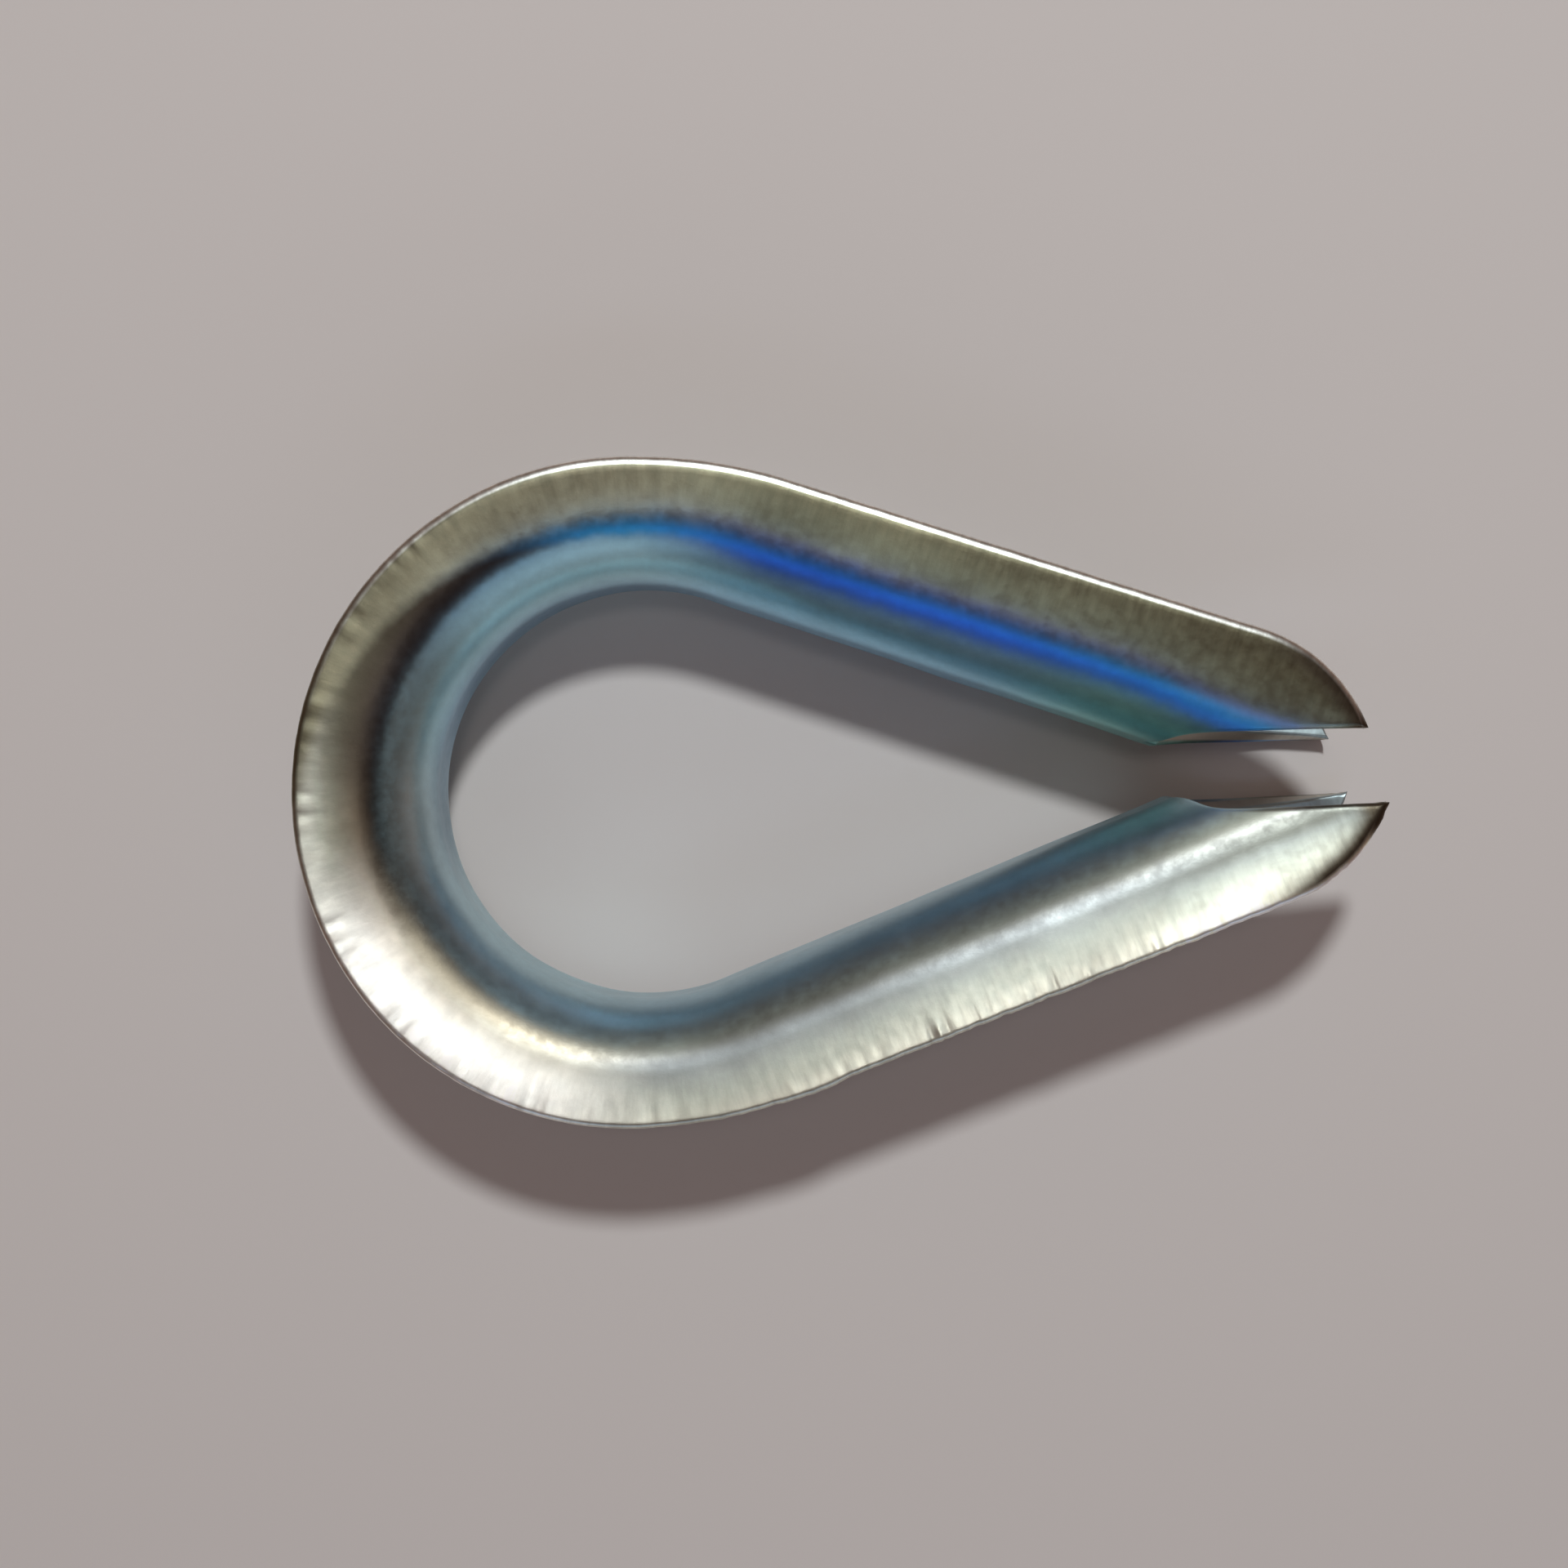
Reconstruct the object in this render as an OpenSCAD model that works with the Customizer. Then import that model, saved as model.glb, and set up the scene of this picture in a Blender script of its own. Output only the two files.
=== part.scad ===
// Thimble for the eye of a wire rope: one strip of steel sheet, pressed into a channel and bent
// into a teardrop. The rope lies in the channel, which opens outward, and the load's pin or
// shackle sits in the eye. The origin is the centre of the bow's throat, halfway through the
// thickness. +X runs along the teardrop to its open ends, and +Z is the axis of the eye.

/* [Eye] */
// Inside width across the bow
eye_w = 23.9; // [22.5:0.1:25]
// Angle between each leg and the long axis, in degrees
leg_angle = 20.4; // [20.4:0.1:20.5]
// Straight length of the throat on a leg, from the bow to the notch
throat_len = 27.4; // [25:0.1:28]

/* [Channel] */
// Thickness of the whole thimble at the crown, from rim to rim
body_h = 13.5; // [12.5:0.1:15]
// Thickness of the sheet
sheet_t = 1.5; // [1:0.1:2]
// Outside radius of the bend between the throat and a flank
shoulder_r = 4.5; // [4:0.1:4.7]
// Outward lean of each flank, in degrees
flare = 6.5; // [4:0.5:8]

/* [Rim] */
// Depth of the channel at the crown of the bow, from throat to rim
crown_depth = 7.6; // [7.2:0.1:8]
// Radius of the rim around the bow
bow_rim_r = 18.85; // [18.5:0.05:19]
// Radius of the rim where the bow runs into a leg
side_rim_r = 29; // [26:0.5:32]
// Angle between a leg's rim and the long axis, in degrees
rim_angle = 19.5; // [19:0.1:20]

/* [Open ends] */
// Distance from the eye's centre to where a rim starts to curve in to its point
ear_x = 35.8; // [35:0.1:36.5]
// Radius of that curve
ear_r = 9.6; // [9:0.1:10.5]
// Clear gap between the ears of the two legs
ear_gap = 3.7; // [3.4:0.1:4]
// Distance from the eye's centre to where the ears' inner edges start
ear_root_x = 30; // [29.6:0.1:30.4]
// Width of the rounded notch between the ears of one leg
notch_w = 8; // [7:0.1:8.5]
// How much farther out the ears of the leg on the -Y side end
leg_mismatch = 1.2; // [0:0.1:1.4]

/* [Hidden] */
$fn = 120;

eye_r = eye_w / 2;
// The straight flank starts this far from the throat, and ends at the rim at the crown.
bend_depth = shoulder_r * (1 - sin(flare));
flank_rise = (crown_depth - bend_depth) * tan(flare);
// Height of the flat band at the bottom of the channel, where a pin bears
band_h = body_h - 2 * (shoulder_r * cos(flare) + flank_rise);
// Lengths that are later cut to an outline are this much too long.
spare = 3;
sweep_depth = crown_depth + spare;
leg_len = ear_x + ear_r + spare;
// Each rounding is this much fuller than its tangent circle, so that it crosses the straight
// parts beside it instead of only touching them.
fullness = 0.002;
// Centre of the rim's arc around the bow
bow_rim_x = bow_rim_r - eye_r - crown_depth;

function along(angle, length) = length * [cos(angle), sin(angle)];

// What rounding a corner removes: the piece between an arc about the origin, from one angle to
// another, and the two straight edges that meet at the corner
module corner_waste(r, from, to) {
    reach = 1.2 * r;
    difference() {
        polygon([
            [0, 0],
            along(from, reach),
            along((from + to) / 2, reach / cos((to - from) / 2)),
            along(to, reach)
        ]);
        circle(r + fullness);
    }
}

// The filled shape within the channel's wall at a distance inset from its outer face, from its
// flat bottom out to x = reach, with its two bends rounded
module channel_fill(inset, reach) {
    bend_r = shoulder_r - inset;
    corner = band_h / 2 + bend_r * tan((90 - flare) / 2);
    mouth = corner + (reach - inset) * tan(flare);
    difference() {
        polygon([[inset, -corner], [inset, corner], [reach, mouth], [reach, -mouth]]);
        for (side = [1, -1])
            scale([1, side])
                translate([shoulder_r, band_h / 2]) corner_waste(bend_r, 90 + flare, 180);
    }
}

// The bent strip's cross-section: throat at x = 0, rims towards +X
module channel_section() {
    difference() {
        channel_fill(0, sweep_depth);
        channel_fill(sheet_t, sweep_depth + spare);
    }
}

// Plan of the rim's +Y half, which starts to curve in to the ears' points at x = ear_start
module rim_plan(ear_start) {
    side_centre = [bow_rim_x, bow_rim_r - side_rim_r];
    side_end = side_centre + along(90 - rim_angle, side_rim_r);
    ear_centre = [ear_start, side_end[1] - (ear_start - side_end[0]) * tan(rim_angle)]
        - along(90 - rim_angle, ear_r);
    crown_x = bow_rim_x - bow_rim_r;
    side_x = side_end[0] - (bow_rim_r - side_end[1]) / tan(rim_angle);
    tip_x = ear_centre[0] + ear_r;
    tip_y = side_end[1] - (tip_x - side_end[0]) * tan(rim_angle);
    difference() {
        polygon([
            [crown_x, 0], [crown_x, bow_rim_r], [side_x, bow_rim_r], [tip_x, tip_y], [tip_x, 0]
        ]);
        translate([bow_rim_x, 0]) corner_waste(bow_rim_r, 90, 180);
        translate(side_centre) corner_waste(side_rim_r, 90 - rim_angle, 90);
        translate(ear_centre) corner_waste(ear_r, 0, 90 - rim_angle);
    }
}

// The rounded notch that parts the ears of a leg, cut square through the throat
module notch() {
    rotate([0, 90, 0]) cylinder(h = 2 * shoulder_r, d = notch_w, center = true);
    translate([-shoulder_r, -leg_len, -notch_w / 2]) cube([2 * shoulder_r, leg_len, notch_w]);
}

// The bow, as deep as the sweep and not yet cut to the rim
module bow() {
    rotate(90 - leg_angle)
        rotate_extrude(angle = 180 + 2 * leg_angle)
            translate([eye_r, 0]) channel_section();
}

// The leg on the +Y side, with its ears and notch moved out by reach, not yet cut to the rim
module leg(reach) {
    difference() {
        rotate(90 - leg_angle)
            translate([eye_r, 0, 0])
                difference() {
                    rotate([90, 0, 0]) linear_extrude(leg_len) channel_section();
                    translate([0, -throat_len - reach - notch_w / 2, 0]) notch();
                }
        translate([ear_root_x + reach, ear_gap / 2 - leg_len, -body_h])
            cube([leg_len, leg_len, 2 * body_h]);
    }
}

module thimble() {
    reach = leg_mismatch / 2;
    color("lightsteelblue")
        intersection() {
            union() {
                bow();
                leg(-reach);
                mirror([0, 1, 0]) leg(reach);
            }
            linear_extrude(2 * body_h, center = true) {
                rim_plan(ear_x - reach);
                mirror([0, 1]) rim_plan(ear_x + reach);
            }
        }
}

thimble();
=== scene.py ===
"""A thimble for the eye of a wire rope: one steel strip, pressed, bent and zinc plated.

The strip's skin is built in mesh code in the flat sheet's own two coordinates, in millimetres:
along (from the crown of the bow, positive towards the +Y leg) and across (from the middle of
the throat, positive towards +Z). Both its faces and its sheared edge are real geometry.
"""

import math

import bpy
import numpy as np
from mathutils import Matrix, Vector, kdtree


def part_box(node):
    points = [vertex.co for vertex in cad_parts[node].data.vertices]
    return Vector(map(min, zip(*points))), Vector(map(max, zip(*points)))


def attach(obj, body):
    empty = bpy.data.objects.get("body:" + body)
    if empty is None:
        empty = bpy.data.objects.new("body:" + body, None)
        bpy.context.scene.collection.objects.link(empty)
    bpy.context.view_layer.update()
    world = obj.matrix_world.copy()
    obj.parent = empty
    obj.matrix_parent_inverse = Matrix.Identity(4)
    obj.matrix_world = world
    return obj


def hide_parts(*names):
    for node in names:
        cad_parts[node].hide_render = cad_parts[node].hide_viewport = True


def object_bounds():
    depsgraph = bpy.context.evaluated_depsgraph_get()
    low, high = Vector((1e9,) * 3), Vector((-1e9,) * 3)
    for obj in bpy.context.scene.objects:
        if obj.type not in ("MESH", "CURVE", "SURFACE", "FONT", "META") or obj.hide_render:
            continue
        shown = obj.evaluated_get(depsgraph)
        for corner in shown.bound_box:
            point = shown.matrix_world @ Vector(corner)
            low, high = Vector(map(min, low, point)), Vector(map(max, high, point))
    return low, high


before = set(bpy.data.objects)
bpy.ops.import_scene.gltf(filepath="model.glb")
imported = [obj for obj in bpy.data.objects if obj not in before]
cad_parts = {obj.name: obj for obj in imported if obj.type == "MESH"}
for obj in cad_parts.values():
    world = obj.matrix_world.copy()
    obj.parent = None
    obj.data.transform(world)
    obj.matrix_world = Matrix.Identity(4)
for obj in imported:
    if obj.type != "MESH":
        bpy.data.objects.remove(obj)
cad_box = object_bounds()

MM = 0.001
NODE = "thimble"
LOW, HIGH = (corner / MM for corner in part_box(NODE))

# The bent strip, as the CAD part has it.
EYE_R = 11.95
LEG_ANGLE = math.radians(20.4)
COS_LEG = math.cos(LEG_ANGLE)
SIN_LEG = math.sin(LEG_ANGLE)
BOW_HALF = EYE_R * (math.pi / 2 + LEG_ANGLE)
SHEET = 1.5
BAND_HALF = 1.868
SHOULDER_R = 4.5
FULL_TURN = math.radians(83.5)
SHOULDER_END = BAND_HALF + SHOULDER_R * FULL_TURN
SHOULDER_DEPTH = SHOULDER_R * (1 - math.cos(FULL_TURN))

# The rim's plan, which is cut straight down.
RIM_R = (HIGH.y - LOW.y) / 2
RIM_X = LOW.x + RIM_R
SIDE_R = 29.0
RIM_ANGLE = math.radians(19.5)
EAR_X = 35.8
EAR_R = 9.6
EAR_END_DEGREES = -5
LEG_MISMATCH = 0.6
BOW_POINTS = 300
SIDE_POINTS = 60
LINE_POINTS = 200
EAR_POINTS = 400

# The open ends: distance of the ears' inner edges from the centre line, above and below.
EAR_GAP_TOP = 2.1
EAR_GAP_BELOW = 1.62
THROAT_END = 27.45
NOTCH_START = 1.5
NOTCH_LEAN = 0.35
NOTCH_BLEND = 0.5


# ---------------------------------------------------------------- shape of the strip

def section(across, inset):
    """Depth from the throat and height of points inset into the sheet from its eye side."""
    width = np.abs(across)
    turn = np.clip((width - BAND_HALF) / SHOULDER_R, 0, FULL_TURN)
    past = np.maximum(width - SHOULDER_END, 0)
    depth = SHOULDER_R * (1 - np.cos(turn)) + past * math.sin(FULL_TURN)
    depth = depth + inset * np.cos(turn)
    height = np.minimum(width, BAND_HALF) + SHOULDER_R * np.sin(turn)
    height = height + past * math.cos(FULL_TURN) - inset * np.sin(turn)
    return depth, np.sign(across) * height


def width_at(depth):
    """How far across the strip, on its eye side, the given depth lies."""
    turn = np.arccos(np.clip(1 - depth / SHOULDER_R, math.cos(FULL_TURN), 1))
    past = np.maximum(depth - SHOULDER_DEPTH, 0) / math.sin(FULL_TURN)
    return BAND_HALF + SHOULDER_R * turn + past


def place(along, across, inset):
    """The point in space of a point of the flat sheet."""
    depth, height = section(across, inset)
    reach = np.abs(along)
    radius = EYE_R + depth
    angle = math.pi - reach / EYE_R
    past = reach - BOW_HALF
    on_bow = past <= 0
    x = np.where(on_bow, radius * np.cos(angle), radius * SIN_LEG + past * COS_LEG)
    y = np.where(on_bow, radius * np.sin(angle), radius * COS_LEG - past * SIN_LEG)
    return np.stack([x, y * np.sign(along), height], axis=-1)


def arc(centre, radius, start, end, count):
    """Points along an arc, from the start angle to the end angle in degrees."""
    angle = np.radians(np.linspace(start, end, count))
    return np.stack([centre[0] + radius * np.cos(angle), centre[1] + radius * np.sin(angle)], 1)


def rim_outline(ear_x):
    """Distance along and half width of the sheet at the rim, for one leg and its half bow."""
    lean = math.degrees(RIM_ANGLE)
    side_y = RIM_R - SIDE_R
    side = arc((RIM_X, side_y), SIDE_R, 90, 90 - lean, SIDE_POINTS)
    drop = (ear_x - side[-1, 0]) * math.tan(RIM_ANGLE)
    ear_y = side[-1, 1] - drop - EAR_R * math.cos(RIM_ANGLE)
    ear_centre = (ear_x - EAR_R * math.sin(RIM_ANGLE), ear_y)
    ear = arc(ear_centre, EAR_R, 90 - lean, EAR_END_DEGREES, EAR_POINTS)
    line = np.linspace(side[-1], ear[0], LINE_POINTS)
    bow = arc((RIM_X, 0), RIM_R, 180, 90, BOW_POINTS)
    points = np.concatenate([bow, side, line, ear])
    x, y = points.T
    angle = np.arctan2(y, x)
    on_bow = angle > math.pi / 2 - LEG_ANGLE
    past = x * COS_LEG - y * SIN_LEG
    along = np.where(on_bow, EYE_R * (math.pi - angle), BOW_HALF + past)
    radius = np.where(on_bow, np.hypot(x, y), x * SIN_LEG + y * COS_LEG)
    order = np.argsort(along)
    return along[order], width_at(radius[order] - EYE_R)


OUTLINES = {1: rim_outline(EAR_X - LEG_MISMATCH), -1: rim_outline(EAR_X + LEG_MISMATCH)}


def rim_width(along):
    """Half width of the sheet at each distance along it."""
    reach = np.abs(along)
    plus = np.interp(reach, *OUTLINES[1])
    minus = np.interp(reach, *OUTLINES[-1])
    return np.where(along >= 0, plus, minus)


def end_of_strip(side, across):
    """Distance along to the notch and the ears' inner edges, for each place across."""
    width = np.abs(across)
    depth, _ = section(width, 0)
    gap = np.where(across >= 0, EAR_GAP_TOP, EAR_GAP_BELOW)
    ear = ((EYE_R + depth) * COS_LEG - gap) / SIN_LEG
    throat = THROAT_END - side * LEG_MISMATCH
    notch = throat + NOTCH_LEAN * np.maximum(width - NOTCH_START, 0)
    return BOW_HALF + NOTCH_BLEND * np.logaddexp(notch / NOTCH_BLEND, ear / NOTCH_BLEND)


# ---------------------------------------------------------------- grid of the skin

# The rows and columns nearest an edge lie at about these distances from it. The other columns
# are at fixed places out to FIXED_WIDTH, and then at shares of what is left of the flank.
EDGE_STEPS = np.array([0, 0.03, 0.08, 0.15, 0.24, 0.36, 0.52, 0.72])
FIXED_WIDTH = 7.4
FIXED_COLUMNS = 27
FLANK_COLUMNS = 15
FLANK_NOMINAL = 4.65
ROW_STEP = 0.25
COMMON_LENGTH = BOW_HALF + 24.75
END_ROWS = 36
# Each column's end is searched for out to SEARCH_END. The end's steepness there is taken over a
# small NUDGE and held to STEEPEST.
SEARCH_END = BOW_HALF + 41
SEARCH_POINTS = 3300
NUDGE = 0.001
STEEPEST = 3
LARGEST_CUT = 0.5


def column_shares():
    """Columns from the throat's middle to a rim: fixed places, then shares of the flank."""
    fixed = np.linspace(0, FIXED_WIDTH, FIXED_COLUMNS)
    near_rim = FLANK_NOMINAL - EDGE_STEPS[::-1]
    inner = np.linspace(0, near_rim[0], FLANK_COLUMNS + 1)[1:-1]
    shares = np.concatenate([inner, near_rim]) / FLANK_NOMINAL
    fixed_all = np.concatenate([fixed, np.full(len(shares), FIXED_WIDTH)])
    share_all = np.concatenate([np.zeros(len(fixed)), shares])
    return fixed_all, share_all


def columns():
    """The same from rim to rim: (sign, fixed place, share) of every column."""
    fixed, share = column_shares()
    sign = np.concatenate([-np.ones(len(fixed) - 1), np.ones(len(fixed))])
    fixed = np.concatenate([fixed[:0:-1], fixed])
    share = np.concatenate([share[:0:-1], share])
    return sign, fixed, share


def across_of(along, column, less=0.0):
    """Place across of each column at each distance along, less a strip at the rim."""
    sign, fixed, share = column
    room = rim_width(along) - FIXED_WIDTH
    room = room - np.minimum(less, LARGEST_CUT * np.abs(room))
    return sign * (fixed + share * room)


def end_rows(side, column):
    """Distances along of the rows past the common ones, one column of the array per column."""
    reach = np.linspace(COMMON_LENGTH, SEARCH_END, SEARCH_POINTS)[:, None]
    across = across_of(side * reach, column)
    beyond = reach - end_of_strip(side, across)
    first = np.argmax(beyond >= 0, axis=0)
    each = np.arange(across.shape[1])
    low = beyond[first - 1, each]
    step = reach[1, 0] - reach[0, 0]
    end = reach[first - 1, 0] - low / (beyond[first, each] - low) * step
    place_across = across[first, each]
    nudged = end_of_strip(side, place_across * (1 + NUDGE)) - end_of_strip(side, place_across)
    slope = nudged / (np.abs(place_across) * NUDGE + 1e-9)
    fine = end - EDGE_STEPS[::-1, None] * np.sqrt(1 + np.minimum(np.abs(slope), STEEPEST) ** 2)
    ramp = np.linspace(0, 1, END_ROWS + 1)[1:-1, None]
    coarse = COMMON_LENGTH + ramp * (fine[0] - COMMON_LENGTH)
    return side * np.concatenate([coarse, fine])


def sheet_grid():
    """Distance along of every grid point, rows from the -Y leg's end to the +Y leg's."""
    column = columns()
    count = int(round(2 * COMMON_LENGTH / ROW_STEP))
    common = np.linspace(-COMMON_LENGTH, COMMON_LENGTH, count + 1)[:, None]
    common = np.repeat(common, len(column[0]), axis=1)
    along = np.concatenate([end_rows(-1, column)[::-1], common, end_rows(1, column)])
    return along, column


# ---------------------------------------------------------------- edges and surface relief

# Each edge is rounded over a width and a depth. The rim's rounding changes along the strip.
RIM_ROUND = (0.28, 0.2)
WORN_ROUND = (0.65, 0.32)
EAR_ROUND = (0.55, 0.3)
END_ROUND = (0.3, 0.22)
GROOVE_ROUND = (0.16, 0.16)
WORN_FADE = (-2, 14)
EAR_START = BOW_HALF + 29
EAR_FULL = BOW_HALF + 36
TIP_START = BOW_HALF + 36.2

# Heights of the sheet's unevenness, and the shortest and longest of its waves.
UNDULATION = 0.018
UNDULATION_WAVES = (5, 14)
HAMMERING = 0.002
HAMMERING_WAVES = (1.6, 3.2)
FLANK_CROWN = 0.024
FLANK_START = 7.9

# Furrows near the rim, strongest round the crown and on the lower arm.
FURROW_WAVES = (0.55, 1.3)
FURROW_LEAN = 0.08
FURROW_REACH = 1.05
FURROW_BASE = 0.004
FURROW_CROWN = 0.034
FURROW_ARM = 0.038
CROWN_MIDDLE = -4
CROWN_FADE = (19, 9)
ARM_RISE = (-24, -31)
ARM_FALL = (-BOW_HALF - 33, -BOW_HALF - 22)
PATCH_WAVES = (3, 7)
PATCH_LEAN = 0.1

# The sheared rims' nibbles, and a burr that stands out at one distance along them.
RAGGED = 0.035
RAGGED_LEAST = 0.2
RAGGED_WAVES = (0.5, 3.5)
RAGGED_RISE = (-14, -26)
RAGGED_REACH = 0.5
BURR = 0.12
BURR_AT = -26
BURR_HALF = 1.6

SHEET_SEED = 11
EDGE_SEED = 5
EDGE_UNEVEN = 0.012


def smooth(low, high, value):
    """A smooth step, 0 where value is low and 1 where it is high."""
    part = np.clip((value - low) / (high - low), 0, 1)
    return part * part * (3 - 2 * part)


def rounding(distance, size):
    """How far an edge's rounding takes the surface into the sheet."""
    width, depth = size
    inside = np.clip(1 - distance / width, 0, 1)
    return depth * (1 - np.sqrt(1 - inside ** 2))


def distance_to(line, along, across):
    """Distance of every grid point from a line of the flat sheet, given by its points."""
    step = 0.03
    dense = []
    for start, end in zip(line[:-1], line[1:]):
        count = max(1, int(np.hypot(*(end - start)) / step))
        dense.extend(start + (end - start) * k / count for k in range(count))
    dense.append(line[-1])
    tree = kdtree.KDTree(len(dense))
    for index, point in enumerate(dense):
        tree.insert((point[0], point[1], 0), index)
    tree.balance()
    flat = zip(along.ravel(), across.ravel())
    found = [tree.find((x, y, 0))[2] for x, y in flat]
    return np.array(found).reshape(along.shape)


def edge_distances(along, across):
    """Distances from the rims and from the open ends' edges."""
    rims = [np.stack([along[:, k], across[:, k]], 1) for k in (0, -1)]
    ends = [np.stack([along[k], across[k]], 1) for k in (0, -1)]
    rim = np.minimum(*(distance_to(line, along, across) for line in rims))
    end = np.minimum(*(distance_to(line, along, across) for line in ends))
    rim[:, [0, -1]] = 0
    end[[0, -1]] = 0
    return rim, end


def waves(random, along, across, lengths, count, lean=1.0):
    """A sum of sine waves of the given range of lengths; lean 0 makes them all run along."""
    total = np.zeros_like(along)
    for _ in range(count):
        length = math.exp(random.uniform(*np.log(lengths)))
        angle = random.uniform(-1, 1) * math.pi / 2 * lean
        phase = random.uniform(0, 2 * math.pi)
        travel = along * math.cos(angle) + across * math.sin(angle)
        total += np.sin(travel * 2 * math.pi / length + phase)
    return total / math.sqrt(count)


def relief(random, along, across, rim):
    """Height of the sheet's unevenness: waviness, a crowned flank, furrows square to the rim."""
    undulation = UNDULATION * waves(random, along, across, UNDULATION_WAVES, 9)
    hammered = HAMMERING * waves(random, along, across, HAMMERING_WAVES, 12)
    furrows = waves(random, along, across, FURROW_WAVES, 14, lean=FURROW_LEAN)
    crown = smooth(*CROWN_FADE, np.abs(along - CROWN_MIDDLE))
    lower_arm = smooth(*ARM_RISE, along) * smooth(*ARM_FALL, along)
    strength = FURROW_BASE + FURROW_CROWN * crown + FURROW_ARM * lower_arm
    patches = 0.75 + 0.5 * waves(random, along, across, PATCH_WAVES, 4, lean=PATCH_LEAN)
    near_rim = np.exp(-(rim / FURROW_REACH) ** 2)
    flank = (np.abs(across) - FLANK_START) / (rim_width(along) - FLANK_START)
    flank = np.clip(flank, 0, 1)
    crowned = FLANK_CROWN * 4 * flank * (1 - flank)
    furrowed = strength * furrows * np.clip(patches, 0, 2) * near_rim
    return undulation + hammered + crowned + furrowed


def ragged(random, along):
    """How far the sheared rim stands in from its outline, nibbled most on the lower arm."""
    arm = RAGGED_LEAST + (1 - RAGGED_LEAST) * smooth(*RAGGED_RISE, along)
    burr = BURR * np.exp(-((along - BURR_AT) / BURR_HALF) ** 4)
    return arm * RAGGED * (1 + waves(random, along, 0 * along, RAGGED_WAVES, 14)) - burr


def skins():
    """Points of the eye side and of the groove side, and the attributes of the eye side."""
    random = np.random.default_rng(SHEET_SEED)
    along, column = sheet_grid()
    across = across_of(along, column)
    rim, end = edge_distances(along, across)
    uneven = relief(random, along, across, rim)
    nibble = ragged(random, along) * np.exp(-rim / RAGGED_REACH) * np.sign(across)
    worn = smooth(*WORN_FADE, along)
    on_ear = smooth(EAR_START, EAR_FULL, np.abs(along))
    round_rim = rounding(rim, RIM_ROUND) * (1 - worn) + rounding(rim, WORN_ROUND) * worn
    round_rim = round_rim * (1 - on_ear) + rounding(rim, EAR_ROUND) * on_ear
    inset = np.maximum(round_rim, rounding(end, END_ROUND)) - uneven
    eye_side = place(along, across - nibble, inset)
    lean = SHEET * math.cos(FULL_TURN)
    under = across_of(along, column, less=lean)
    inset = SHEET - rounding(np.minimum(rim, end), GROOVE_ROUND) - uneven
    groove_side = place(along, under - nibble, inset)
    facts = {"along": along, "across": np.abs(across), "rim": rim}
    return eye_side, groove_side, facts


# ---------------------------------------------------------------- mesh

EDGE_RINGS = 3


def border(rows, cols):
    """Index of every point round the grid's border, in order."""
    grid = np.arange(rows * cols).reshape(rows, cols)
    return np.concatenate([grid[0, :-1], grid[:-1, -1], grid[-1, :0:-1], grid[:0:-1, 0]])


def grid_faces(rows, cols, start, flip):
    """Four-sided faces of a grid whose points are numbered from start."""
    index = start + np.arange(rows * cols).reshape(rows, cols)
    corners = [index[:-1, :-1], index[:-1, 1:], index[1:, 1:], index[1:, :-1]]
    if flip:
        corners.reverse()
    return np.stack([corner.ravel() for corner in corners], 1)


def edge_strip(random, outer, inner, start, outer_index, inner_index):
    """Rings of the sheared edge between the two sides, slightly uneven, and their faces."""
    rings = []
    for k in range(1, EDGE_RINGS + 1):
        part = k / (EDGE_RINGS + 1)
        ring = outer + (inner - outer) * part
        ring[:, 2] += random.normal(0, EDGE_UNEVEN, len(ring))
        rings.append(ring)
    count = len(outer)
    indices = [outer_index]
    indices += [start + k * count + np.arange(count) for k in range(EDGE_RINGS)]
    indices.append(inner_index)
    faces = []
    for first, second in zip(indices[:-1], indices[1:]):
        after, beyond = np.roll(first, -1), np.roll(second, -1)
        faces.append(np.stack([first, second, beyond, after], 1))
    return np.concatenate(rings), np.concatenate(faces)


def add_attribute(mesh, name, values):
    """One number for each point of the mesh, for the material to read."""
    attribute = mesh.attributes.new(name, "FLOAT", "POINT")
    attribute.data.foreach_set("value", values.astype(np.float32).ravel())


def build_strip():
    """The whole strip as one closed mesh object, in metres."""
    eye_side, groove_side, facts = skins()
    rows, cols = eye_side.shape[:2]
    size = rows * cols
    points = np.concatenate([eye_side.reshape(-1, 3), groove_side.reshape(-1, 3)])
    loop = border(rows, cols)
    random = np.random.default_rng(EDGE_SEED)
    rings, strip = edge_strip(
        random, points[loop], points[size + loop], 2 * size, loop, size + loop
    )
    faces = np.concatenate([
        grid_faces(rows, cols, 0, False), grid_faces(rows, cols, size, True), strip
    ])
    mesh = bpy.data.meshes.new("thimble_strip")
    mesh.from_pydata((np.concatenate([points, rings]) * MM).tolist(), [], faces.tolist())
    mesh.update()
    for name, values in facts.items():
        ring_values = np.tile(values.ravel()[loop], EDGE_RINGS)
        add_attribute(mesh, name, np.concatenate([values.ravel(), values.ravel(), ring_values]))
    groove = np.concatenate([np.zeros(size), np.ones(size), np.full(len(rings), 0.5)])
    add_attribute(mesh, "groove", groove)
    mesh.shade_smooth()
    strip = bpy.data.objects.new("thimble_strip", mesh)
    bpy.context.scene.collection.objects.link(strip)
    return strip


# ---------------------------------------------------------------- shader helpers

def node(tree, kind, inputs=None, **settings):
    """A shader node with its settings, and its inputs linked or set."""
    made = tree.nodes.new(kind)
    for name, value in settings.items():
        setattr(made, name, value)
    for socket, value in (inputs or {}).items():
        if isinstance(value, bpy.types.NodeSocket):
            tree.links.new(value, made.inputs[socket])
        else:
            made.inputs[socket].default_value = value
    return made


def attribute(tree, name):
    return node(tree, "ShaderNodeAttribute", attribute_name=name).outputs["Fac"]


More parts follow.
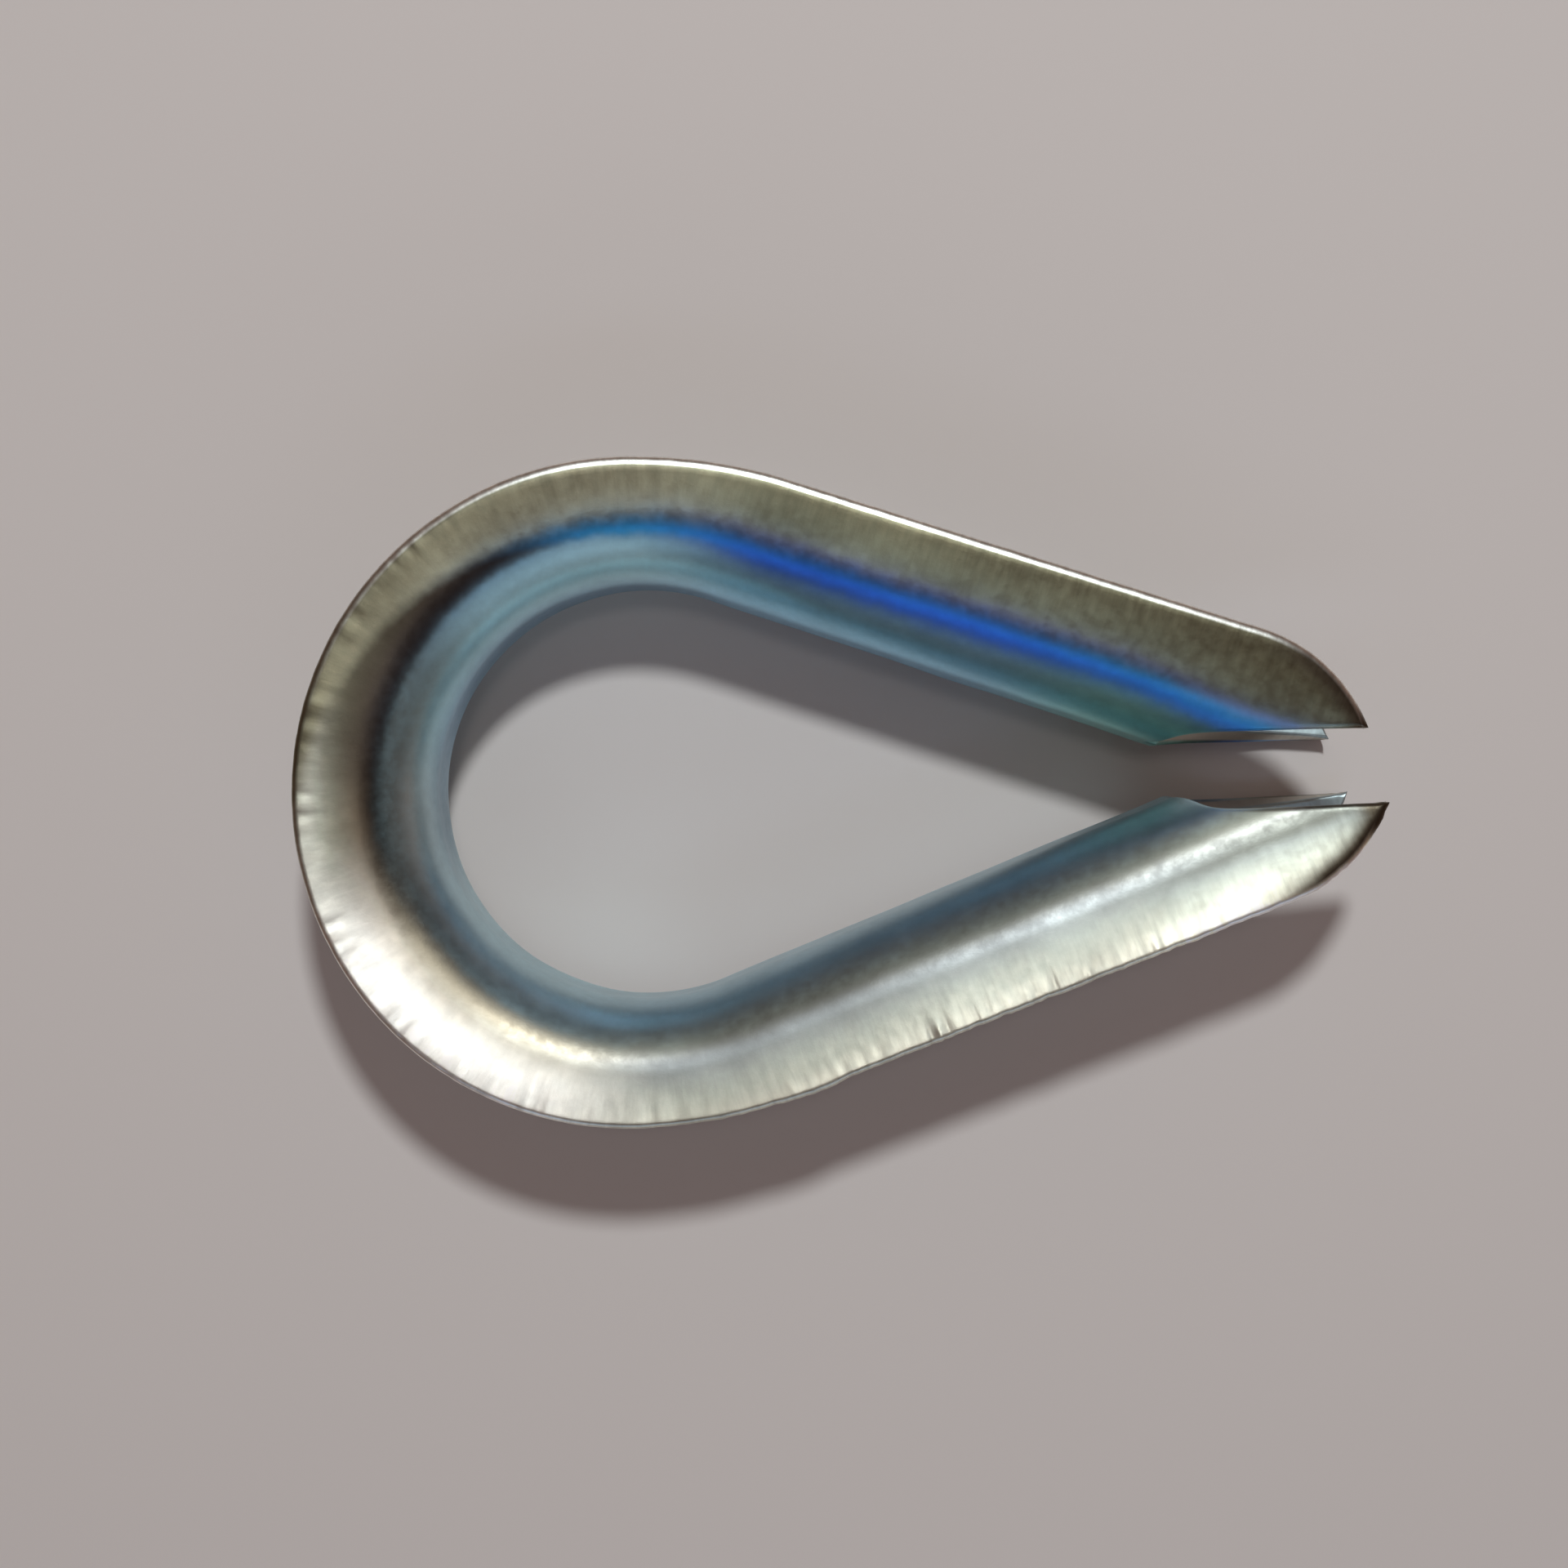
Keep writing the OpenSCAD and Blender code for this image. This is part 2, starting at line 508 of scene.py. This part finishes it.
def calculate(tree, operation, *values):
    inputs = dict(enumerate(values))
    return node(tree, "ShaderNodeMath", inputs, operation=operation).outputs[0]


def multiply(tree, first, second):
    return calculate(tree, "MULTIPLY", first, second)


def add(tree, first, second):
    return calculate(tree, "ADD", first, second)


def remap(tree, value, start, end, low=0.0, high=1.0):
    """value's step from start to end, smoothed and turned into a step from low to high."""
    inputs = {"Value": value, "From Min": start, "From Max": end, "To Min": low, "To Max": high}
    made = node(tree, "ShaderNodeMapRange", inputs, interpolation_type="SMOOTHSTEP", clamp=True)
    return made.outputs["Result"]


def within(tree, value, rise, fall):
    """1 between a smooth rise and a smooth fall of value, and 0 outside them."""
    return multiply(tree, remap(tree, value, *rise), remap(tree, value, *fall))


def mix(tree, factor, first, second, kind="MIX"):
    made = node(tree, "ShaderNodeMix", data_type="RGBA", blend_type=kind)
    for socket, value in ((0, factor), (6, first), (7, second)):
        if isinstance(value, bpy.types.NodeSocket):
            tree.links.new(value, made.inputs[socket])
        else:
            made.inputs[socket].default_value = value
    return made.outputs[2]


def multiplied(tree, factor, colour, by):
    """The colour, multiplied by another as far as factor says."""
    return mix(tree, factor, colour, mix(tree, 1.0, colour, by, "MULTIPLY"))


def ramp(tree, value, span, stops):
    """Colours at places along value's range from 0 to span."""
    made = node(tree, "ShaderNodeValToRGB")
    made.color_ramp.interpolation = "B_SPLINE"
    elements = made.color_ramp.elements
    while len(elements) < len(stops):
        elements.new(1.0)
    for element, (position, colour) in zip(elements, stops):
        element.position = position / span
        element.color = (*colour, 1.0)
    share = calculate(tree, "DIVIDE", value, span)
    tree.links.new(share, made.inputs["Fac"])
    return made.outputs["Color"]


def noise(tree, position, scale, detail, rough):
    inputs = {"Vector": position, "Scale": scale, "Detail": detail, "Roughness": rough}
    return node(tree, "ShaderNodeTexNoise", inputs).outputs["Fac"]


# ---------------------------------------------------------------- zinc plating

# The plating's colour from the throat (0) to the rim, in millimetres across the sheet: the
# passivated zinc's blue tint, with painted highlights, painted reflections and painted shade
# laid into it zone by zone.
SPAN = 12.5
# +Y arm: a blue band at the shoulder, part passivate tint and part painted reflection, and a
# flank painted dark olive as shade.
ARM_PLUS = [
    (2.5, (0.33, 0.59, 0.78)), (4.6, (0.36, 0.66, 0.84)), (5.5, (0.20, 0.35, 0.42)),
    (6.4, (0.09, 0.17, 0.35)), (7.1, (0.05, 0.19, 0.94)), (7.7, (0.07, 0.36, 1.00)),
    (8.2, (0.24, 0.31, 0.62)), (8.8, (0.32, 0.39, 0.36)), (9.7, (0.31, 0.34, 0.25)),
    (11.0, (0.20, 0.19, 0.125)),
]
# Top of the bow: a painted light-blue highlight on the shoulder, the blue band, and a flank
# painted darker as shade.
BOW_TOP = [
    (2.5, (0.22, 0.40, 0.53)), (4.8, (0.56, 0.86, 0.98)), (5.6, (0.26, 0.46, 0.54)),
    (6.4, (0.44, 0.72, 0.82)), (6.8, (0.34, 0.58, 0.70)), (7.2, (0.03, 0.32, 0.58)),
    (7.7, (0.09, 0.48, 0.96)), (8.3, (0.44, 0.52, 0.50)), (9.4, (0.37, 0.36, 0.26)),
    (11.0, (0.21, 0.20, 0.14)),
]
# +Y side of the bow: a painted light-blue highlight, then a near-black band painted as a dark
# reflection.
BOW_PLUS = [
    (2.5, (0.22, 0.37, 0.50)), (4.8, (0.68, 0.96, 1.00)), (5.6, (0.40, 0.64, 0.72)),
    (6.4, (0.44, 0.70, 0.80)), (6.9, (0.44, 0.68, 0.76)), (7.3, (0.08, 0.10, 0.12)),
    (7.9, (0.07, 0.06, 0.06)), (8.8, (0.08, 0.065, 0.05)), (10.2, (0.11, 0.105, 0.075)),
    (11.6, (0.24, 0.23, 0.18)),
]
# Crown: a painted highlight on the shoulder, a painted dark reflection band, and a painted
# highlight at the rim.
CROWN = [
    (2.5, (0.21, 0.33, 0.41)), (4.8, (0.86, 1.00, 1.00)), (5.7, (0.56, 0.78, 0.86)),
    (6.8, (0.26, 0.38, 0.42)), (7.4, (0.035, 0.035, 0.035)), (8.1, (0.09, 0.065, 0.045)),
    (9.2, (0.15, 0.13, 0.10)), (10.3, (0.27, 0.28, 0.23)), (11.1, (0.62, 0.64, 0.58)),
]
# -Y side of the bow: the flank painted near white towards the rim as a highlight.
BOW_MINUS = [
    (2.5, (0.50, 0.68, 0.74)), (4.6, (0.76, 0.94, 0.98)), (5.6, (0.29, 0.41, 0.48)),
    (6.4, (0.17, 0.23, 0.25)), (6.9, (0.19, 0.16, 0.12)), (7.9, (0.225, 0.185, 0.13)),
    (8.8, (0.74, 0.70, 0.62)), (10.0, (0.96, 0.96, 0.94)), (11.4, (0.92, 0.93, 0.90)),
]
# -Y arm: painted darker where the key's highlight falls, and a lighter silver flank as painted
# light.
ARM_MINUS = [
    (2.5, (0.48, 0.62, 0.68)), (4.4, (0.46, 0.62, 0.70)), (5.5, (0.24, 0.34, 0.41)),
    (6.4, (0.27, 0.30, 0.27)), (7.1, (0.11, 0.10, 0.08)), (8.0, (0.17, 0.175, 0.185)),
    (9.2, (0.36, 0.38, 0.35)), (10.4, (0.38, 0.40, 0.35)), (11.4, (0.70, 0.70, 0.61)),
]
GROOVE_TINT = (0.42, 0.50, 0.52, 1)
SHEARED_TINT = (0.55, 0.53, 0.47, 1)
# A painted highlight on the +Y side's rounded rim.
RIM_HIGHLIGHT_TINT = (0.86, 0.85, 0.80, 1)
BURNT_TINT = (0.11, 0.09, 0.065, 1)
GREENER = (0.95, 1.1, 0.8, 1)
# Painted highlight and painted darkening for the -Y leg's end.
PAINTED_HIGHLIGHT_GAIN = (2.0, 2.0, 1.95, 1)
PAINTED_DIMMING = (0.6, 0.58, 0.52, 1)

# Where each zone's colour, tint with painted light and shade, gives way to the next along the
# strip. BORDER_LEAN sets one border aslant.
CROWN_FROM_BOW_PLUS = (-1.0, 5.0)
BOW_PLUS_TO_TOP = (13.0, 17.0)
BORDER_LEAN = 3.5
BORDER_AT = 7.5
TOP_TO_ARM = (18.0, 26.0)
BAND_BENDS = (BOW_HALF + 23, BOW_HALF + 33)
BAND_SHIFT = 0.9
EAR_PLUS = (BOW_HALF + 15, BOW_HALF + 25)
CROWN_TO_BOW_MINUS = (-1.0, -6.8)
BOW_MINUS_TO_ARM = (-12.5, -20.0)
EAR_MINUS = (-BOW_HALF - 19, -BOW_HALF - 33)

# Places across the strip where the ends' green tint, painted highlight and painted dimming rise
# and fall.
GREEN_FALL = (8.6, 7.8)
HIGHLIGHT_BESIDE = ((5.2, 6.2), (8.0, 7.2))
HIGHLIGHT_AT_RIM = (8.9, 10.3)
DIMMED_BETWEEN = ((7.3, 7.9), (9.2, 8.4))

# Distances from the rim, and along the strip, where the painted rim highlight, burning, streaks
# and marks show.
RIM_HIGHLIGHT_REACH = (0.5, 0.3)
RIM_HIGHLIGHT_ALONG = (2.0, 14.0)
BURNT_RIM = ((0.1, 0.4), (1.6, 0.5))
BURNT_EAR = (EAR_START, EAR_FULL - 2)
BURNT_TIP = (TIP_START, TIP_START + 1.4)
STREAKED_RIM = (4.5, 0.5)
MARKED_RIM = (2.6, 0.3)

# Scale, detail and roughness of each noise, with scales per metre, or per millimetre for the
# streaks and marks, which are drawn out square to the rim.
WOBBLE = (900.0, 2.0, 0.5)
CLOUDS = (260.0, 4.0, 0.6)
MOTTLE = (2200.0, 3.0, 0.65)
STREAKS = (2.2, 3.0, 0.65)
STREAK_STRETCH = 7.0
GRAIN = (8500.0, 3.0, 0.6)
MARKS = (3.2, 1.0, 0.5)
MARK_STRETCH = 10.0
SATIN = (1500.0, 3.0, 0.6)
WOBBLE_WIDTH = 0.4
GRAIN_SHARE = 0.4
MARK_SHARE = 0.5
BUMP_STRENGTH = 0.3
BUMP_DISTANCE = 0.02

# Roughness of the plating, and what the groove, the throat and the lower bend add to it.
ROUGHNESS = (0.28, 0.34)
GROOVE_ROUGHER = 0.1
THROAT_ROUGHER = 0.06
THROAT_FADE = (8.6, 5.6)
BEND_ROUGHER = 0.06
BEND_FADE = (10.0, 8.6)
BEND_ALONG = (-3.0, -12.0)


def tint_with_painted_light(tree, along, across):
    """The plating's colour by place on the strip: its tint with painted highlights, painted
    reflections and painted shade.
    """
    colour = ramp(tree, across, SPAN, CROWN)
    plus = ramp(tree, across, SPAN, BOW_PLUS)
    colour = mix(tree, remap(tree, along, *CROWN_FROM_BOW_PLUS), colour, plus)
    top = ramp(tree, across, SPAN, BOW_TOP)
    outward = multiply(tree, calculate(tree, "SUBTRACT", across, BORDER_AT), BORDER_LEAN)
    leaning = add(tree, along, outward)
    colour = mix(tree, remap(tree, leaning, *BOW_PLUS_TO_TOP), colour, top)
    arm_plus = ramp(tree, across, SPAN, ARM_PLUS)
    colour = mix(tree, remap(tree, along, *TOP_TO_ARM), colour, arm_plus)
    at_ear = multiply(tree, remap(tree, along, *EAR_PLUS), remap(tree, across, *GREEN_FALL))
    colour = multiplied(tree, at_ear, colour, GREENER)
    minus = ramp(tree, across, SPAN, BOW_MINUS)
    colour = mix(tree, remap(tree, along, *CROWN_TO_BOW_MINUS), colour, minus)
    arm_minus = ramp(tree, across, SPAN, ARM_MINUS)
    colour = mix(tree, remap(tree, along, *BOW_MINUS_TO_ARM), colour, arm_minus)
    return ear_minus(tree, along, across, colour)


def ear_minus(tree, along, across, colour):
    """The -Y leg's end gets a painted highlight beside the throat and near the rim, and is
    painted darker between, where the key's highlight falls.
    """
    out = remap(tree, along, *EAR_MINUS)
    beside = within(tree, across, *HIGHLIGHT_BESIDE)
    light = calculate(tree, "MAXIMUM", beside, remap(tree, across, *HIGHLIGHT_AT_RIM))
    colour = multiplied(tree, multiply(tree, light, out), colour, PAINTED_HIGHLIGHT_GAIN)
    dimmed = multiply(tree, within(tree, across, *DIMMED_BETWEEN), out)
    return multiplied(tree, dimmed, colour, PAINTED_DIMMING)


def sheet_position(tree, along, across, stretch):
    """Coordinates in the flat sheet, in millimetres, with across drawn out by stretch."""
    short = calculate(tree, "DIVIDE", across, stretch)
    return node(tree, "ShaderNodeCombineXYZ", {"X": along, "Y": short}).outputs["Vector"]


def rim_highlight_and_burnt(tree, along, rim, colour):
    """A painted highlight along the +Y side's rim, and brown borders and tips on the ears."""
    # The painted highlight along the +Y side's rim.
    worn = multiply(tree, remap(tree, rim, *RIM_HIGHLIGHT_REACH), remap(tree, along, *RIM_HIGHLIGHT_ALONG))
    colour = mix(tree, worn, colour, RIM_HIGHLIGHT_TINT)
    reach = calculate(tree, "ABSOLUTE", along)
    burnt = multiply(tree, within(tree, rim, *BURNT_RIM), remap(tree, reach, *BURNT_EAR))
    burnt = calculate(tree, "MAXIMUM", burnt, remap(tree, reach, *BURNT_TIP))
    return mix(tree, burnt, colour, BURNT_TINT)


def unevenness(tree, along, across, rim, position):
    """How much lighter or darker the plating is from place to place, as a grey colour."""
    clouds = remap(tree, noise(tree, position, *CLOUDS), 0.25, 0.75, 0.93, 1.07)
    mottle = remap(tree, noise(tree, position, *MOTTLE), 0.3, 0.7, 0.97, 1.03)
    drawn_out = sheet_position(tree, along, across, STREAK_STRETCH)
    streaks = remap(tree, noise(tree, drawn_out, *STREAKS), 0.3, 0.7, 0.88, 1.12)
    near_rim = remap(tree, rim, *STREAKED_RIM)
    streaks = node(tree, "ShaderNodeMix", {0: near_rim, 2: 1.0, 3: streaks}).outputs[0]
    light = multiply(tree, multiply(tree, clouds, mottle), streaks)
    grey = node(tree, "ShaderNodeCombineXYZ", {"X": light, "Y": light, "Z": light})
    return grey.outputs["Vector"]


def zinc_colour(tree, along, across, rim, groove, position):
    """The plating's tint with its painted light and shade, its wobbling borders, its painted rim
    highlight and burnt rims, and unevenness.
    """
    wobble = calculate(tree, "SUBTRACT", noise(tree, position, *WOBBLE), 0.5)
    shifted = calculate(tree, "MULTIPLY_ADD", wobble, WOBBLE_WIDTH, across)
    shifted = add(tree, shifted, remap(tree, along, *BAND_BENDS, 0.0, BAND_SHIFT))
    colour = rim_highlight_and_burnt(tree, along, rim, tint_with_painted_light(tree, along, shifted))
    colour = mix(tree, remap(tree, groove, 0.0, 0.5), colour, SHEARED_TINT)
    colour = mix(tree, remap(tree, groove, 0.5, 1.0), colour, GROOVE_TINT)
    return mix(tree, 1.0, colour, unevenness(tree, along, across, rim, position), "MULTIPLY")


def zinc_bump(tree, along, across, rim, position):
    """Fine grain of the plating, drawing marks square to the rim, and their normal."""
    grain = noise(tree, position, *GRAIN)
    marks = noise(tree, sheet_position(tree, along, across, MARK_STRETCH), *MARKS)
    marks = multiply(tree, marks, remap(tree, rim, *MARKED_RIM, 0.0, MARK_SHARE))
    height = calculate(tree, "MULTIPLY_ADD", grain, GRAIN_SHARE, marks)
    inputs = {"Strength": BUMP_STRENGTH, "Distance": BUMP_DISTANCE * MM, "Height": height}
    return node(tree, "ShaderNodeBump", inputs).outputs["Normal"]


def zinc_roughness(tree, along, across, groove, position):
    satin = remap(tree, noise(tree, position, *SATIN), 0.3, 0.7, *ROUGHNESS)
    satin = add(tree, satin, remap(tree, groove, 0.0, 0.5, 0.0, GROOVE_ROUGHER))
    satin = add(tree, satin, remap(tree, across, *THROAT_FADE, 0.0, THROAT_ROUGHER))
    bend = remap(tree, across, *BEND_FADE, 0.0, BEND_ROUGHER)
    return add(tree, satin, multiply(tree, bend, remap(tree, along, *BEND_ALONG)))


def zinc_material():
    material = bpy.data.materials.new("zinc_plated_steel")
    material.use_nodes = True
    tree = material.node_tree
    shader = tree.nodes["Principled BSDF"]
    shader.inputs["Metallic"].default_value = 1.0
    along = attribute(tree, "along")
    across = attribute(tree, "across")
    rim = attribute(tree, "rim")
    groove = attribute(tree, "groove")
    position = node(tree, "ShaderNodeTexCoord").outputs["Object"]
    sockets = {
        "Base Color": zinc_colour(tree, along, across, rim, groove, position),
        "Roughness": zinc_roughness(tree, along, across, groove, position),
        "Normal": zinc_bump(tree, along, across, rim, position),
    }
    for socket, value in sockets.items():
        tree.links.new(value, shader.inputs[socket])
    return material


# ---------------------------------------------------------------- studio

# The camera looks straight down.
CAMERA_AT = (8.061, 0.156, 146.5)
CAMERA_TURN = math.radians(-2.09)
SENSOR = 36.0
LENS = 57.3
FLOOR_HALF = 2500.0
FLOOR_COLOUR = (0.73, 0.655, 0.63, 1)
FLOOR_ROUGHNESS = 0.7
FLOOR_GLOSS = 0.2
OVERHEAD = (0.112, 0.066, 0.049, 1)
HORIZON = (0.235, 0.16, 0.132, 1)
HORIZON_FADE = (0.5, 0.05)


def make_camera():
    data = bpy.data.cameras.new("camera")
    data.sensor_width = SENSOR
    data.lens = LENS
    data.clip_start = 0.001
    data.clip_end = 10
    camera = bpy.data.objects.new("camera", data)
    camera.location = Vector(CAMERA_AT) * MM
    camera.rotation_euler = (0, 0, CAMERA_TURN)
    bpy.context.scene.collection.objects.link(camera)
    bpy.context.scene.camera = camera


def floor_material():
    material = bpy.data.materials.new("pale_floor")
    material.use_nodes = True
    tree = material.node_tree
    shader = tree.nodes["Principled BSDF"]
    shader.inputs["Roughness"].default_value = FLOOR_ROUGHNESS
    shader.inputs["Specular IOR Level"].default_value = FLOOR_GLOSS
    shader.inputs["Base Color"].default_value = FLOOR_COLOUR
    return material


def make_floor():
    """A plain floor at the height of the CAD's lowest point."""
    half = FLOOR_HALF * MM
    height = cad_box[0].z
    corners = [(x * half, y * half, height) for x, y in ((-1, -1), (1, -1), (1, 1), (-1, 1))]
    mesh = bpy.data.meshes.new("floor")
    mesh.from_pydata(corners, [], [(0, 1, 2, 3)])
    mesh.materials.append(floor_material())
    floor = bpy.data.objects.new("floor", mesh)
    bpy.context.scene.collection.objects.link(floor)


def area_light(name, towards, colour, power, distance, size, size_y=None):
    """A soft lamp in the given direction from the object, at a distance in millimetres."""
    data = bpy.data.lights.new(name, "AREA")
    data.shape = "DISK" if size_y is None else "RECTANGLE"
    data.size = size * MM
    if size_y is not None:
        data.size_y = size_y * MM
    data.energy = power
    data.color = colour
    lamp = bpy.data.objects.new(name, data)
    direction = Vector(towards).normalized()
    lamp.location = direction * distance * MM
    lamp.rotation_mode = "QUATERNION"
    lamp.rotation_quaternion = direction.to_track_quat("Z", "Y")
    bpy.context.scene.collection.objects.link(lamp)


def make_world():
    """A dim warm room, lighter towards the horizon."""
    world = bpy.data.worlds.new("soft_room")
    bpy.context.scene.world = world
    world.use_nodes = True
    tree = world.node_tree
    direction = node(tree, "ShaderNodeTexCoord").outputs["Generated"]
    height = node(tree, "ShaderNodeSeparateXYZ", {"Vector": direction}).outputs["Z"]
    glow = remap(tree, height, *HORIZON_FADE)
    colour = mix(tree, glow, OVERHEAD, HORIZON)
    tree.links.new(colour, tree.nodes["Background"].inputs["Color"])


def make_lights():
    area_light(
        "key", (0.10, 0.50, 1.0), (0.89, 0.98, 1.0), power=0.82, distance=400, size=40
    )
    area_light(
        "ceiling_lamp", (0.02, 0.10, 1.0), (1.0, 0.98, 0.93), power=0.13, distance=600, size=60
    )
    area_light(
        "low_window", (0.15, -1.0, 0.55), (0.78, 0.91, 1.0),
        power=0.19, distance=450, size=600, size_y=180
    )
    area_light(
        "high_window", (0.05, -0.75, 1.0), (0.5, 0.74, 1.0),
        power=0.13, distance=500, size=480, size_y=85
    )


make_camera()
make_floor()
make_world()
make_lights()
bpy.context.scene.view_settings.view_transform = "Standard"
strip = build_strip()
strip.data.materials.append(zinc_material())
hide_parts(NODE)
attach(strip, "root")
